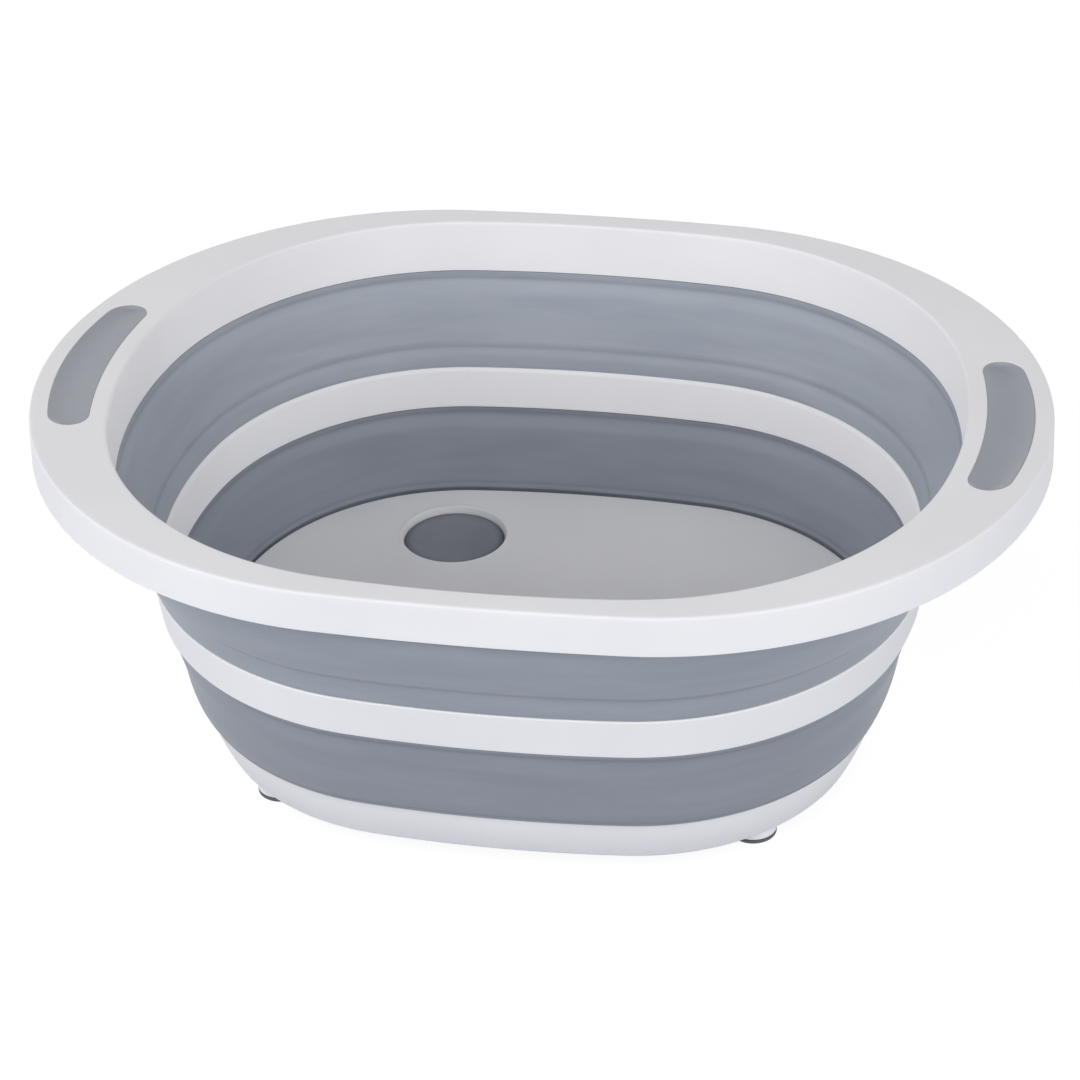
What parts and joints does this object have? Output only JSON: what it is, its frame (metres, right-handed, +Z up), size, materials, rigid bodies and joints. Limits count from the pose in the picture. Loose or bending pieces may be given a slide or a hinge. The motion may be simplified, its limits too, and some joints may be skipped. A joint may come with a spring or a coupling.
{
  "type": "folding basin",
  "caption": "Oval folding wash basin: hard rim, middle ring and tray joined by soft folding walls, with a lift-out drain plug, soft grips and foot pads.",
  "frame": {"origin": "on the ground, under the middle of the basin's bounding box", "axes": "+X along the length, the drain on the -X side; +Y across the width, the drain on the +Y side; +Z up"},
  "size_m": [0.3808, 0.2932, 0.141],
  "materials": {
    "white_plastic": "smooth moulded polypropylene, satin",
    "soft_wall": "blue-grey silicone, satin",
    "grip": "grey soft-touch rubber, matt",
    "plug": "dark grey rubber, satin",
    "foot_pad": "dark grey rubber, matt"
  },
  "bodies": {
    "base": {"base_tray": "white_plastic", "lower_wall": "soft_wall", "foot_pad_1": "foot_pad", "foot_pad_2": "foot_pad", "foot_pad_3": "foot_pad", "foot_pad_4": "foot_pad"},
    "middle": {"middle_ring": "white_plastic", "upper_wall": "soft_wall"},
    "rim": {"rim_frame": "white_plastic", "grip_left": "grip", "grip_right": "grip"},
    "plug": {"drain_plug": "plug"}
  },
  "joints": [
    {"name": "lower_fold", "type": "slide", "parent": "base", "child": "middle", "axis": [0, 0, -1], "range_m": [0, 0.042], "deforming": ["lower_wall"]},
    {"name": "upper_fold", "type": "slide", "parent": "middle", "child": "rim", "axis": [0, 0, -1], "range_m": [0, 0.042], "deforming": ["upper_wall"]},
    {"name": "plug_lift", "type": "slide", "parent": "base", "child": "plug", "axis": [0, 0, 1], "range_m": [0, 0.15]}
  ]
}
